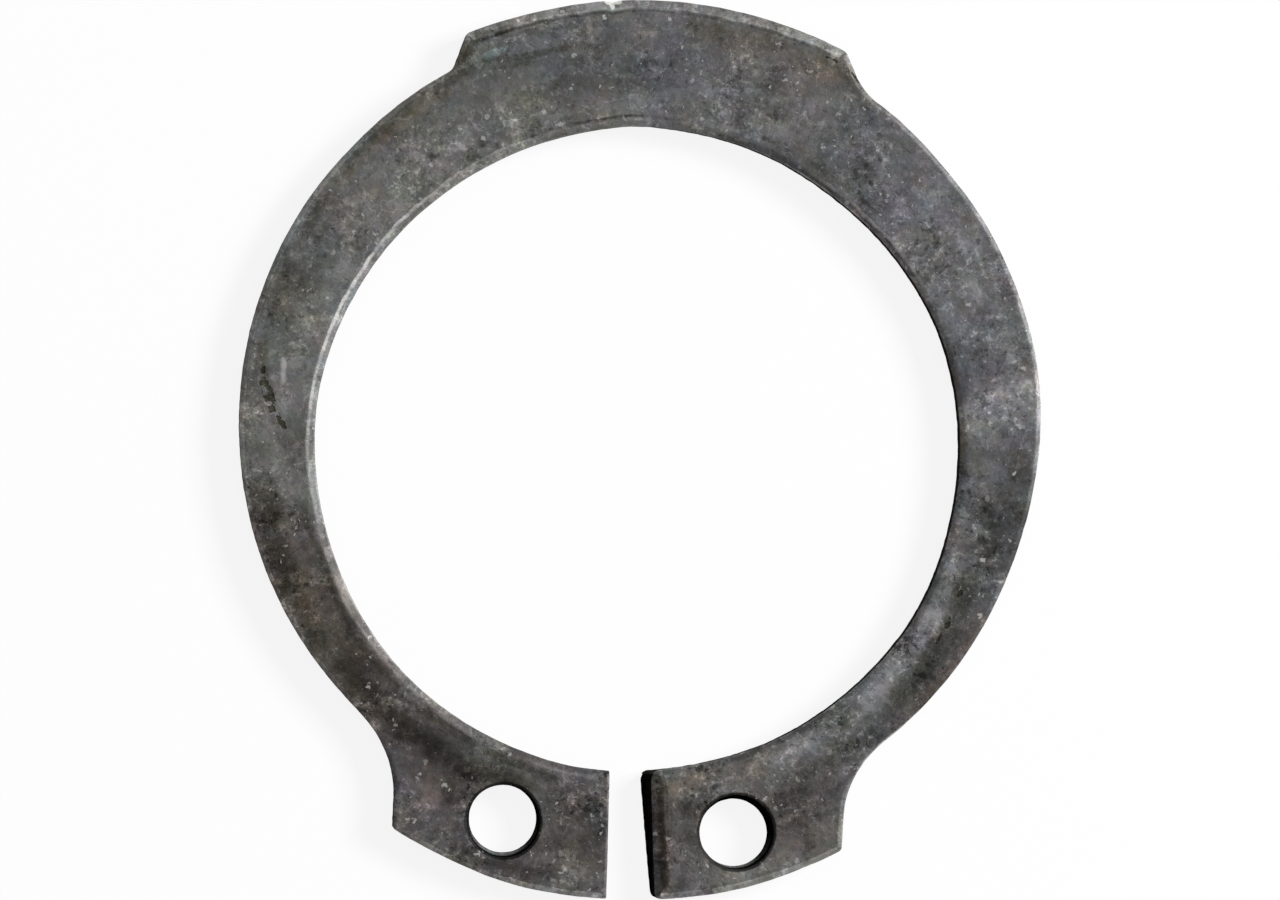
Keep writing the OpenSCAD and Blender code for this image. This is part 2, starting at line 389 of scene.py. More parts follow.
# Parts of the ring that lean to brown, to blue and to olive, and the parts where the marks are thickest
warm_areas = [
    (2.2, 1, (-10, -4), (-8, -7), (-4, -11), (-1, -11)),
    (1.5, 1, (1.5, -11), (5, -10.5)),
    (0.4, 1.2, (10.2, -4.6), (9, -6.6), (8, -7.6)),
]
cool_areas = [
    (1.6, 1.2, (7.2, 7.4), (9.5, 4.2), (10.4, 1)),
    (1.3, 0.5, (0.5, 11), (2.5, 10.8), (5, 9.5)),
    (0.5, 0.8, (9.7, -0.5), (9.2, -3.5), (7.2, -6.5)),
    (0.8, 1.6, (-6.3, -9.2), (-5.8, -10.6), (-4.6, -11)),
]
olive_areas = [
    (1.8, 1, (-10.9, -1), (-10.5, 2), (-9.2, 5.5), (-7, 8.3), (-4.5, 10)),
]
busy_areas = [
    (3, 1, (-10.6, -3), (-7, -8), (-2, -11), (4, -10.5), (8.6, -6), (10.4, -2)),
    (1.4, 0.6, (6.8, 7.8), (9.3, 5), (10.4, 1.4)),
    (1.4, 0.3, (-2.5, 11.2), (3.5, 11)),
]
face_marks = {
    "stain": stains,
    "scuff": scuffs,
    "browned": brown_marks,
    "greened": green_marks,
    "chalky": chalk_spots,
    "scar": scars,
    "light": light_areas,
    "dark": dark_areas,
    "warm": warm_areas,
    "cool": cool_areas,
    "olive": olive_areas,
    "busy": busy_areas,
    "flecked": flecked_areas,
}
unmarked = dict.fromkeys(("inner_line", "fringe", *face_marks), 0)


def smooth(value):
    """Rises from 0 to 1 with soft ends as the value does."""
    value = np.clip(value, 0, 1)
    return value * value * (3 - 2 * value)


def bump_at(position, middle, half_width):
    """Rises to 1 in the middle and falls off to both sides."""
    return np.exp(-((position - middle) / half_width) ** 2)


def roughness_along(points, size, seed):
    """Smooth unevenness between -1 and 1, with waves of about the given size."""
    return np.array([noise.noise(Vector((x / size, y / size, seed))) for x, y in points])


def unevenness(points, waves):
    """Sum of waves, each with its height, size and seed."""
    return sum(height * roughness_along(points, size, seed) for height, size, seed in waves)


def marks_at(points, marks):
    """How strongly the marks show at each point."""
    amount = np.zeros(len(points))
    for half_width, strength, *route in marks:
        route = np.array(route)
        away = np.full(len(points), np.inf)
        for start, end in zip(route[:-1], route[1:]):
            side = end - start
            share = np.clip((points - start) @ side / (side @ side), 0, 1)
            away = np.minimum(away, np.hypot(*(points - start - share[:, None] * side).T))
        amount = np.maximum(amount, strength * (1 - smooth(away / (mark_reach * half_width))))
    return amount


def search_tree(points):
    tree = kdtree.KDTree(len(points))
    for i, (x, y) in enumerate(points):
        tree.insert((x, y, 0), i)
    tree.balance()
    return tree


def toward(angle):
    """Unit vector at an angle."""
    return np.array([math.sin(math.radians(angle)), math.cos(math.radians(angle))])


def angles_of(points):
    return np.degrees(np.arctan2(points[..., 0], points[..., 1]))


def arc(centre, radius, start, end):
    """Points along an arc from one angle to another."""
    count = max(3, round(abs(math.radians(end - start)) * radius / fine_step))
    angles = np.radians(np.linspace(start, end, count))
    return centre + radius * np.column_stack([np.sin(angles), np.cos(angles)])


def arc_between(centre, start, end):
    """The shorter arc from one point to another."""
    first = angles_of(start - centre)
    turn = (angles_of(end - centre) - first + 180) % 360 - 180
    return arc(centre, np.hypot(*(start - centre)), first, first + turn)


def line(start, end):
    """Points along a straight line."""
    count = max(3, round(np.hypot(*(end - start)) / fine_step))
    return start + np.linspace(0, 1, count)[:, None] * (end - start)


def shoulder(corner, lean, radius, side):
    """Where a flank ends, the centre of the hollow that follows it, and where that meets the body."""
    turn = math.radians(lean)
    along = np.array([math.sin(turn), -math.cos(turn)])
    out = side * radius * np.array([math.cos(turn), math.sin(turn)])
    start = corner + out - body_centre
    passing = start @ along
    run = -passing - math.sqrt(passing ** 2 - start @ start + (body_r + radius) ** 2)
    centre = corner + out + run * along
    meeting = body_centre + (centre - body_centre) * body_r / (body_r + radius)
    return centre - out, centre, meeting


def pad_shoulder(flank):
    corner = envelope_r * toward(flank["angle"])
    return corner, shoulder(corner, flank["lean"], flank["hollow_r"], flank["side"])


def lug_shoulder(flank):
    corner = np.array([flank["x"], -math.sqrt(envelope_r ** 2 - flank["x"] ** 2)])
    return corner, shoulder(corner, 180, flank["hollow_r"], flank["side"])


def end_corners(places):
    """Where a lug's end meets the bore and the outer edge."""
    return [np.array([x, -math.sqrt(r ** 2 - x ** 2)]) for x, r in zip(places, (bore_r, envelope_r))]


def outline_pieces():
    """The stretches of the outline, clockwise from the left lug's inner corner, with their kinds."""
    left_in, left_out = end_corners(left_end)
    right_in, right_out = end_corners(right_end)
    lug_l, (lug_l_foot, lug_l_centre, lug_l_meet) = lug_shoulder(lug_left)
    pad_l, (pad_l_foot, pad_l_centre, pad_l_meet) = pad_shoulder(pad_left)
    pad_r, (pad_r_foot, pad_r_centre, pad_r_meet) = pad_shoulder(pad_right)
    lug_r, (lug_r_foot, lug_r_centre, lug_r_meet) = lug_shoulder(lug_right)
    return [
        ("left_end", line(left_in, left_out), "left_outer"),
        ("lug", arc_between(origin, left_out, lug_l), "lug"),
        ("rim", line(lug_l, lug_l_foot), None),
        ("rim", arc_between(lug_l_centre, lug_l_foot, lug_l_meet), None),
        ("rim", arc_between(body_centre, lug_l_meet, pad_l_meet), None),
        ("rim", arc_between(pad_l_centre, pad_l_meet, pad_l_foot), None),
        ("rim", line(pad_l_foot, pad_l), "pad"),
        ("pad", arc_between(origin, pad_l, pad_r), "pad"),
        ("rim", line(pad_r, pad_r_foot), None),
        ("rim", arc_between(pad_r_centre, pad_r_foot, pad_r_meet), None),
        ("rim", arc_between(body_centre, pad_r_meet, lug_r_meet), None),
        ("rim", arc_between(lug_r_centre, lug_r_meet, lug_r_foot), None),
        ("rim", line(lug_r_foot, lug_r), "lug"),
        ("lug", arc_between(origin, lug_r, right_out), "right_outer"),
        ("right_end", line(right_out, right_in), "right_inner"),
        ("bore", arc(origin, bore_r, angles_of(right_in), angles_of(left_in)), "left_inner"),
    ]


def path_lengths(points):
    """Length along a closed path to each of its points, and once round."""
    steps = np.hypot(*(np.roll(points, -1, axis=0) - points).T)
    return np.concatenate([[0], np.cumsum(steps)])


def round_corner(points, lengths, corner, trim):
    """Moves the points near a corner onto a curve that joins its two sides."""
    total = lengths[-1]
    away = (lengths[:-1] - lengths[corner] + total / 2) % total - total / 2
    near = np.abs(away) < trim
    closed = np.vstack([points, points[:1]])
    before, after = (
        np.array([np.interp((lengths[corner] + shift) % total, lengths, column) for column in closed.T])
        for shift in (-trim, trim)
    )
    share = ((away[near] + trim) / (2 * trim))[:, None]
    curve = (1 - share) ** 2 * before + 2 * share * (1 - share) * points[corner] + share ** 2 * after
    rounded = points.copy()
    rounded[near] = curve
    return rounded, near


def normals_of(points):
    """Outward normals of a clockwise path."""
    along = np.roll(points, -1, axis=0) - np.roll(points, 1, axis=0)
    along /= np.hypot(*along.T)[:, None]
    return np.column_stack([-along[:, 1], along[:, 0]])


def outline():
    """The outline's points, clockwise, with each point's kind of edge."""
    kinds, stretches, corners = zip(*outline_pieces())
    counts = [len(stretch) - 1 for stretch in stretches]
    kinds = np.repeat(kinds, counts)
    points = np.vstack([stretch[:-1] for stretch in stretches])
    lengths = path_lengths(points)
    close = np.zeros(len(points), bool)
    for corner, place in zip(corners, np.cumsum(counts)):
        if corner:
            points, near = round_corner(points, lengths, place % len(points), corner_trims[corner])
            close |= near
    around = angles_of(points)
    push = np.zeros(len(points))
    for middle, half_width, amount in body_waves:
        wave = amount * bump_at(around, middle, half_width)
        push += np.where(np.isin(kinds, ("rim", "lug", "pad")), wave, 0)
    for middle, half_width, amount in bore_waves:
        push -= np.where(kinds == "bore", amount * bump_at(around, middle, half_width), 0)
    in_nick = bump_at(points[:, 0], nick_x, nick_half_w) * (kinds == "pad")
    push -= nick_depth * in_nick
    close |= in_nick > 0.02
    push += unevenness(points, outline_waves) - outline_waves[0][0]
    points = points + push[:, None] * normals_of(points)
    return thin_out(points, kinds, close)


def thin_out(points, kinds, close):
    """Keeps points at even steps, closer together at corners and at the nick."""
    kept = [0]
    walked = 0
    steps = np.hypot(*(np.roll(points, -1, axis=0) - points).T)
    for i in range(1, len(points)):
        walked += steps[i - 1]
        if walked >= (corner_step if close[i] else edge_step):
            kept.append(i)
            walked = 0
    return points[kept], kinds[kept]


def hole_outline(side):
    """A hole's edge at the face, anticlockwise, so that its normals point into the hole."""
    angles = np.radians(np.linspace(0, -360, hole_points, endpoint=False))
    ring = np.column_stack([np.sin(angles), np.cos(angles)])
    mouth_r, shift = hole_mouths[side]
    radius = mouth_r + unevenness(ring, [hole_waves[side]])
    return hole_centres[side] + shift + ring * radius[:, None]


class Edge:
    """All edge loops of the ring in one list of points, with what the surface needs along them."""

    def __init__(self):
        ring, kinds = outline()
        loops = [ring] + [hole_outline(side) for side in (0, 1)]
        self.loops = []
        start = 0
        for loop in loops:
            self.loops.append(np.arange(start, start + len(loop)))
            start += len(loop)
        self.points = np.vstack(loops)
        self.kinds = np.concatenate([kinds, ["hole"] * (start - len(ring))])
        self.normals = np.vstack([normals_of(loop) for loop in loops])
        self.next = np.concatenate([np.roll(loop, -1) for loop in self.loops])
        self.previous = np.concatenate([np.roll(loop, 1) for loop in self.loops])
        self.tree = search_tree(self.points)
        self.set_styles()

    def set_styles(self):
        """Width and shades of the rolled edge at each point; the strip's shade is mostly painted light and
        shade.
        """
        around = angles_of(self.points)
        styles = np.zeros((len(self.points), 4))
        for kind, rows in edge_styles.items():
            table = np.array(rows)
            own = self.kinds == kind
            for column in range(4):
                styles[own, column] = np.interp(around[own], table[:, 0], table[:, column + 1])
        for _ in range(style_passes):
            styles = (styles[self.previous] + 2 * styles + styles[self.next]) / 4
        self.width = styles[:, 0] * (1 + unevenness(self.points, [width_wave]))
        self.strip, self.line, self.fringe = styles[:, 1:].T
        self.drop = roll_depth * self.width

    def nearest(self, points):
        """Distance of each point from the edge, and the nearest edge point."""
        found = np.array([self.tree.find((x, y, 0))[1] for x, y in points])
        distance = np.full(len(points), np.inf)
        for other in (self.next, self.previous):
            start = self.points[found]
            side = self.points[other[found]] - start
            share = np.clip(np.sum((points - start) * side, axis=1) / np.sum(side * side, axis=1), 0, 1)
            distance = np.minimum(distance, np.hypot(*(points - start - share[:, None] * side).T))
        return distance, found

    def contains(self, points, boundary):
        """Which points lie inside the edge loops, by counting crossings to the right."""
        inside = np.zeros(len(points), bool)
        for loop in self.loops:
            for i, j in zip(loop, np.roll(loop, -1)):
                (x1, y1), (x2, y2) = boundary[i], boundary[j]
                if y1 == y2:
                    continue
                spans = (points[:, 1] > min(y1, y2)) & (points[:, 1] <= max(y1, y2))
                crossing = x1 + (points[:, 1] - y1) * (x2 - x1) / (y2 - y1)
                inside ^= spans & (crossing > points[:, 0])
        return inside


def hex_grid(step):
    """Points over the whole ring, in staggered rows and a little out of line."""
    row_step = step * math.sqrt(3) / 2
    points = []
    for row in range(int(2 * envelope_r / row_step) + 2):
        y = -envelope_r + row * row_step
        x = np.arange(-envelope_r, envelope_r, step) + (row % 2) * step / 2
        points.append(np.column_stack([x, np.full(len(x), y)]))
    grid = np.vstack(points)
    grid += np.random.default_rng(grid_seed).uniform(-grid_jitter, grid_jitter, grid.shape) * step
    radius = np.hypot(*grid.T)
    return grid[(radius > bore_r - bore_margin) & (radius < envelope_r)]


def triangulate(boundary, inner, edge):
    """Triangles between the edge loops, with the inner points as further corners."""
    points = np.vstack([boundary, inner])
    sides = [(int(i), int(j)) for i, j in enumerate(edge.next)]
    corners, _, triangles, sources, _, _ = delaunay_2d_cdt([Vector(p) for p in points], sides, [], 0, 1e-7)
    triangles = np.array(triangles)
    middles = np.array(corners)[triangles].mean(axis=1)
    triangles = triangles[edge.contains(middles, boundary)]
    return np.array([ids[0] for ids in sources])[triangles]


def face_drop(distance, found, edge):
    """How far the face drops near its rolled edges."""
    share = np.clip(1 - distance / edge.width[found], 0, 1)
    return edge.drop[found] * share ** roll_power


def inner_points(edge, boundary, distances, step, distance_of):
    """Rows of points at the given distances from the edge, and a grid past them."""
    rows = np.vstack([boundary - distance * edge.normals for distance in distances])
    wanted = np.repeat(distances, len(boundary))
    rows = rows[distance_of(rows) > wanted - row_slack]
    grid = hex_grid(step)
    far = distance_of(grid) > distances[-1] + grid_gap * step
    return np.vstack([rows, grid[edge.contains(grid, boundary) & far]])


def foot_turn(edge):
    """Angle by which each edge point's foot is turned towards the gap, at the right lug's end."""
    radius = np.hypot(*edge.points.T)
    reach = np.interp(radius, (bore_r, envelope_r), right_foot)
    end_x = np.interp(radius, (bore_r, envelope_r), right_end)
    run = np.clip(1 - (edge.points[:, 0] - end_x - foot_whole) / foot_fade, 0, 1)
    near = (edge.kinds != "hole") & (edge.points[:, 1] < 0) & (edge.points[:, 0] > 0.5)
    return np.where(near, reach / radius * run, 0)


def wall_row(edge, level, turn):
    """Edge points at one level of the wall, where 0 is its top and 1 its foot."""
    angle = turn * level
    x, y = edge.points.T
    turned = np.column_stack([x * np.cos(angle) + y * np.sin(angle), y * np.cos(angle) - x * np.sin(angle)])
    torn = smooth((level - tear_start) / tear_run)
    waves = [(share, size, seed + change * level) for share, size, seed, change in tear_waves]
    rough = unevenness(edge.points, waves)
    in_hole = edge.kinds == "hole"
    shift = np.where(in_hole, hole_tear * torn * rough, edge_tear * torn * rough - tear_depth * torn)
    row = turned + shift[:, None] * edge.normals
    for own, (mouth_r, mouth_shift), (foot_r, foot_shift) in zip(edge.loops[1:], hole_mouths, hole_feet):
        row[own] += level * ((mouth_r - foot_r) * edge.normals[own] + foot_shift - mouth_shift)
    return row


def add_object(name, data):
    thing = bpy.data.objects.new(name, data)
    bpy.context.scene.collection.objects.link(thing)
    return thing


class Surface:
    """Collects the corners, triangles and attributes of the ring's mesh."""

    def __init__(self):
        self.corners = []
        self.faces = []
        self.slots = []
        self.layers = {}
        self.count = 0

    def add(self, corners, **layers):
        start = self.count
        self.corners.append(corners)
        self.count += len(corners)
        for name, values in layers.items():
            self.layers.setdefault(name, []).append(np.broadcast_to(values, len(corners)).astype(np.float32))
        return start

    def join(self, faces, slot=0):
        self.faces.append(faces)
        self.slots.append(slot)

    def object(self, name, materials):
        """The Blender object, in metres."""
        mesh = bpy.data.meshes.new(name)
        corners = np.vstack(self.corners) * MM
        mesh.from_pydata(corners.tolist(), [], [face for group in self.faces for face in group.tolist()])
        for layer, values in self.layers.items():
            mesh.attributes.new(layer, "FLOAT", "POINT").data.foreach_set("value", np.concatenate(values))
        for material in materials:
            mesh.materials.append(material)
        slots = np.concatenate([np.full(len(group), slot) for group, slot in zip(self.faces, self.slots)])
        mesh.polygons.foreach_set("material_index", slots.astype(np.int32))
        mesh.shade_smooth()
        mesh.update()
        return add_object(name, mesh)


def add_face(surface, edge):
    """The upper face with its rolled edges and marks."""
    inner = inner_points(edge, edge.points, row_distances, face_step, lambda points: edge.nearest(points)[0])
    points = np.vstack([edge.points, inner])
    distance, found = edge.nearest(points)
    distance[:len(edge.points)] = 0
    found[:len(edge.points)] = np.arange(len(edge.points))
    surface.add(
        np.column_stack([points, thickness - face_drop(distance, found, edge)]),
        past_roll=np.clip(distance - edge.width[found], -roll_limit, roll_limit),
        strip=edge.strip[found],
        inner_line=edge.line[found],
        fringe=edge.fringe[found],
        edge_distance=np.minimum(distance, edge_limit),
        wall=0,
        **{name: marks_at(points, marks) for name, marks in face_marks.items()},
    )
    surface.join(triangulate(edge.points, inner, edge))


def add_walls(surface, edge, turn):
    """The walls, row by row from the edge points down. Returns the corners of the lowest row."""
    upper = np.arange(len(edge.points))
    # Painted shade and painted light on the walls, by kind of edge
    shades = np.array([painted_wall_shading[kind] for kind in edge.kinds])
    # Painted light at the holes' feet, on the walls that face the lugs' outer edge
    foot_light = np.where(edge.kinds == "hole", painted_foot_light * np.clip(edge.normals[:, 1], 0, 1), 0)
    for level in wall_levels[1:]:
        height = (thickness - edge.drop) * (1 - level)
        start = surface.add(
            np.column_stack([wall_row(edge, level, turn), height]),
            past_roll=-edge.width,
            strip=shades + foot_light * smooth((level - foot_light_start) / foot_light_run),
            edge_distance=0,
            wall=level,
            **unmarked,
        )
        lower = start + np.arange(len(edge.points))
        surface.join(np.column_stack([upper, upper[edge.next], lower[edge.next], lower]), slot=1)
        upper = lower
    return upper


def add_underside(surface, edge, boundary, rim):
    """The underside, raised by the height of the burr inside its rim."""
    tree = search_tree(boundary)
    inner = inner_points(
        edge, boundary, (burr_w, 3 * burr_w), under_step,
        lambda points: np.array([tree.find((x, y, 0))[2] for x, y in points]),
    )
    start = surface.add(
        np.column_stack([inner, np.full(len(inner), burr_h)]),
        past_roll=roll_limit,
        strip=0,
        edge_distance=edge_limit,
        wall=0,
        **unmarked,
    )
    index = np.concatenate([rim, start + np.arange(len(inner))])
    surface.join(index[triangulate(boundary, inner, edge)][:, ::-1])


def ring_surface():
    edge = Edge()
    surface = Surface()
    turn = foot_turn(edge)
    add_face(surface, edge)
    rim = add_walls(surface, edge, turn)
    add_underside(surface, edge, wall_row(edge, 1.0, turn), rim)
    return surface.object("darkened_steel_ring", [steel(), blanked_wall()])


class Shader:
    """Builds one material's nodes. Most methods return an output socket."""

    def __init__(self, name):
        self.material = bpy.data.materials.new(name)
        self.material.use_nodes = True
        self.tree = self.material.node_tree
        self.tree.nodes.clear()
        metres = self.put("ShaderNodeTexCoord").outputs["Object"]
        scaled = self.put("ShaderNodeVectorMath", {0: metres, "Scale": 1 / MM}, operation="SCALE")
        self.place = scaled.outputs[0]

    def put(self, kind, inputs=None, **settings):
        """A new node with these settings, and with these values or links at its inputs."""
        node = self.tree.nodes.new(kind)
        for name, value in settings.items():
            setattr(node, name, value)
        for name, value in (inputs or {}).items():
            if isinstance(value, bpy.types.NodeSocket):
                self.tree.links.new(value, node.inputs[name])
            else:
                node.inputs[name].default_value = value
        return node

    def math(self, operation, *values, clamp=False):
        node = self.put("ShaderNodeMath", dict(enumerate(values)), operation=operation, use_clamp=clamp)
        return node.outputs[0]

    def times(self, first, second):
        return self.math("MULTIPLY", first, second)

    def attribute(self, name):
        return self.put("ShaderNodeAttribute", attribute_name=name).outputs["Fac"]

    def map_range(self, values, **settings):
        names = ("Value", "From Min", "From Max", "To Min", "To Max")
        return self.put("ShaderNodeMapRange", dict(zip(names, values)), **settings).outputs[0]

    def between(self, value, start, end, to_start=0, to_end=1):
        """Turns with soft ends from one value into another, and stays there past both."""
        return self.map_range((value, start, end, to_start, to_end), interpolation_type="SMOOTHSTEP")

    def between_linear(self, value, start, end, to_start, to_end):
        """Turns one range into another, and goes on past both ends."""
        return self.map_range((value, start, end, to_start, to_end), clamp=False)

    def vary(self, value, mask, amount):
        """The value, raised or lowered by a share where the mask is 1."""
        return self.times(value, self.math("MULTIPLY_ADD", mask, amount, 1))

    def ragged_mark(self, name, ragged, reach, start, end):
        """A mark whose attribute is broken up by noise."""
        amount = self.attribute(name)
        broken = self.math("ADD", amount, self.times(ragged, self.times(amount, reach)))
        return self.between(broken, start, end)

    def specks(self, scale, radius, share, shift, crowding=0):
        """Small ragged specks in a share of the cells of a random pattern, each with its own strength."""
        moved = self.put("ShaderNodeVectorMath", {0: self.place, 1: (*shift, 0)}, operation="ADD")
        warp = self.put("ShaderNodeTexNoise", {"Vector": self.place, "Scale": 7})
        warped = {0: warp.outputs["Color"], 1: (0.25, 0.25, 0), 2: moved.outputs[0]}
        bent = self.put("ShaderNodeVectorMath", warped, operation="MULTIPLY_ADD").outputs[0]
        cells = self.put("ShaderNodeTexVoronoi", {"Vector": bent, "Scale": scale}, voronoi_dimensions="2D")
        pick = self.put("ShaderNodeSeparateColor", {0: cells.outputs["Color"]})
        reach = radius * scale
        size = self.between_linear(pick.outputs[0], 1 - share, 1, 0, reach)
        size = self.math("ADD", size, self.times(crowding, reach))
        chips = self.times(self.noise(9, 2, 0.6, shift=(*shift, 1)), 0.9 * reach)
        outside = self.math("SUBTRACT", self.math("ADD", cells.outputs["Distance"], chips), size)
        strength = self.between_linear(pick.outputs[1], 0, 1, 0.35, 1)
        return self.times(self.between(outside, 0.45 * reach, 0.15 * reach), strength)

    def threads(self, scale, shift):
        """Thin wandering lines in short lengths."""
        folds = self.noise(scale, 3, 0.55, shift=shift)
        lines = self.between(self.math("ABSOLUTE", self.math("SUBTRACT", folds, 0.5)), 0.018, 0.005)
        return self.times(lines, self.between(self.noise(1.1, 2, 0.5, shift=shift), 0.5, 0.56))

    def noise(self, scale, detail, roughness, shift=(0, 0, 0), stretch=(1, 1, 1), turn=0):
        """Cloudy noise with the given number of blots to the millimetre."""
        rotation = (0, 0, math.radians(turn))
        mapped = {"Vector": self.place, "Location": shift, "Rotation": rotation, "Scale": stretch}
        place = self.put("ShaderNodeMapping", mapped).outputs[0]
        inputs = {"Vector": place, "Scale": scale, "Detail": detail, "Roughness": roughness}
        return self.put("ShaderNodeTexNoise", inputs).outputs["Fac"]

    def mix(self, factor, first, second):
        """The first colour where the factor is 0, and the second where it is 1."""
        return self.put("ShaderNodeMix", {"Factor": factor, 6: first, 7: second}, data_type="RGBA").outputs[2]

    def bump(self, height, depth, under=None):
        """Relief of a height, on top of another relief."""
        inputs = {"Strength": 1, "Distance": depth * MM, "Height": height}
        if under is not None:
            inputs["Normal"] = under
        return self.put("ShaderNodeBump", inputs).outputs[0]

    def finish(self, shader):
        self.put("ShaderNodeOutputMaterial", {"Surface": shader.outputs[0]})
        return self.material


# Linear colours of the phosphated steel, of metal worn bare, of the chalky spot at the nick, of the
# floor, and of the floor to the light that it throws back on the ring
steel_colour = (0.1125, 0.112, 0.1105)
bare_colour = (0.55, 0.54, 0.525, 1)
chalk_colour = (0.85, 0.85, 0.8, 1)
white = (1, 1, 1, 1)
shaded_floor = (0.2, 0.2, 0.2, 1)


def mottled(s):
    """Tone of the darkened steel, from patches of some millimetres down to grain, and its relief."""
    mottle = s.noise(0.5, 5, 0.72)
    crowd = s.between(s.noise(0.5, 2, 0.5, shift=(7, 1, 3)), 0.4, 0.6, 0.15, 1.2)
    busy = s.times(crowd, s.math("MULTIPLY_ADD", s.attribute("busy"), 0.6, 0.85))
    flecks = s.noise(2.2, 4, 0.68, shift=(2, 9, 4))
    streaks = s.noise(1.6, 5, 0.7, shift=(17, 3, 5), stretch=(0.35, 1, 1), turn=8)
    flakes = s.noise(1.9, 6, 0.75, shift=(29, 13, 2))
    chips = s.noise(5, 3, 0.65, shift=(3, 23, 2))
    grain = s.noise(9, 2, 0.6, shift=(9, 12, 7))
    depth = s.math("MULTIPLY_ADD", s.attribute("busy"), 0.45, 0.7)
    tone = s.math("MULTIPLY_ADD", s.between_linear(mottle, 0.3, 0.7, -0.55, 0.55), depth, 1)
    for cloud, start, end, amount in (
        (flecks, 0.56, 0.64, 0.42),
        (flecks, 0.43, 0.35, -0.4),
        (streaks, 0.57, 0.65, 0.4),
        (chips, 0.575, 0.62, 0.55),
        (chips, 0.41, 0.36, -0.4),
    ):
        tone = s.vary(tone, s.times(busy, s.between(cloud, start, end)), amount)
    tone = s.vary(tone, s.between(flakes, 0.495, 0.512, -1, 1), 0.13)
    tone = s.vary(tone, s.threads(1.3, (19, 7, 11)), 0.5)
    tone = s.vary(tone, s.threads(1.5, (3, 37, 5)), -0.3)
    tone = s.vary(tone, s.between_linear(grain, 0.3, 0.7, -1, 1), 0.04)
    relief = s.bump(mottle, 0.04)
    relief = s.bump(flecks, 0.015, relief)
    relief = s.bump(chips, 0.006, relief)
    return tone, busy, relief


def tinted(s, tone, red, blue):
    """Base colour with the given tone and casts."""
    tone = s.math("MAXIMUM", tone, 0.02)
    parts = [s.times(tone, share) for share in steel_colour]
    inputs = {"Red": s.times(parts[0], red), "Green": parts[1], "Blue": s.times(parts[2], blue)}
    return s.put("ShaderNodeCombineColor", inputs).outputs[0]


def casts(s):
    """How much red and blue there is beside the green."""
    red = s.between_linear(s.noise(0.7, 5, 0.85, shift=(21, 4, 3)), 0.3, 0.7, 0.865, 1.135)
    blue = s.between_linear(s.noise(0.6, 5, 0.85, shift=(5, 24, 13)), 0.3, 0.7, 0.835, 1.165)
    for name, amount in (("warm", -0.04), ("cool", 0.06), ("olive", -0.05)):
        blue = s.vary(blue, s.attribute(name), amount)
    return s.vary(red, s.attribute("warm"), 0.08), blue


def raggedness(s):
    """Noise about 0 that breaks up the marks."""
    return s.math("SUBTRACT", s.noise(1.8, 5, 0.78, shift=(11, 2, 6)), 0.5)


def fine_raggedness(s):
    return s.math("SUBTRACT", s.noise(3.6, 4, 0.75, shift=(1, 8, 3)), 0.5)


def marked(s, tone, red, blue, relief):
    """Tone, casts and relief with the light and dark areas and the ragged marks."""
    ragged = raggedness(s)
    blots = s.math("SUBTRACT", s.noise(4.5, 1, 0.5, shift=(6, 2, 8)), 0.5)
    blots = s.math("MULTIPLY_ADD", fine_raggedness(s), 0.9, blots)
    stain = s.ragged_mark("stain", ragged, 4.5, 0.15, 0.75)
    scuff = s.ragged_mark("scuff", ragged, -5, 0.2, 0.9)
    browned = s.ragged_mark("browned", ragged, 2, 0.1, 0.9)
    greened = s.ragged_mark("greened", ragged, 2, 0.1, 0.9)
    scar = s.ragged_mark("scar", blots, 7, 0.4, 1)
    for mask, amount in (
        (s.attribute("light"), 0.9),
        (s.attribute("dark"), -0.75),
        (stain, -0.45),
        (scuff, 0.55),
        (greened, 0.8),
        (scar, -0.65),
    ):
        tone = s.vary(tone, mask, amount)
    red = s.vary(s.vary(red, browned, 0.12), greened, -0.14)
    for mask, amount in ((browned, -0.1), (stain, -0.1), (scar, -0.3)):
        blue = s.vary(blue, mask, amount)
    return tone, red, blue, s.bump(s.times(scar, -1), 0.03, relief)


def bright_specks(s):
    crowds = s.between(s.noise(0.7, 2, 0.5, shift=(41, 5, 9)), 0.52, 0.68, -0.3, 0.5)
    crowds = s.math("MULTIPLY_ADD", s.attribute("flecked"), 0.8, crowds)
    specks = s.math("MAXIMUM", s.specks(1.2, 0.09, 0.5, (3, 5)), s.specks(2.6, 0.05, 0.4, (13, 2), crowds))
    return s.math("MAXIMUM", specks, s.specks(4.5, 0.03, 0.4, (23, 7), crowds))


def rolled_edges(s, tone):
    """Tone with the strips of the rolled edges, mostly painted light and shade, the dark lines behind them,
    and where they are worn.
    """
    ragged = raggedness(s)
    past_roll = s.math("ADD", s.attribute("past_roll"), s.times(ragged, 0.12))
    # Painted light and painted shade on the rolled strips
    tone = s.vary(tone, s.times(s.attribute("strip"), s.between(past_roll, 0.02, -0.025)), 1)
    line = s.attribute("inner_line")
    broken = s.between(s.noise(1.9, 4, 0.7, shift=(31, 7, 2)), 0.36, 0.6, 0.3, 1.3)
    dark_line = s.between(s.math("ABSOLUTE", s.math("SUBTRACT", past_roll, 0.075)), 0.06, 0.01)
    tone = s.vary(tone, s.times(s.math("MINIMUM", line, 0), s.times(dark_line, broken)), 0.55)
    light_line = s.between(s.math("ABSOLUTE", s.math("ADD", past_roll, 0.045)), 0.07, 0.02)
    light_line = s.times(s.math("MAXIMUM", line, 0), light_line)
    from_edge = s.math("ADD", s.attribute("edge_distance"), s.times(ragged, 0.15))
    fringe = s.times(s.attribute("fringe"), s.between(from_edge, 0.06, 0))
    return tone, s.times(s.math("MAXIMUM", fringe, light_line), broken)


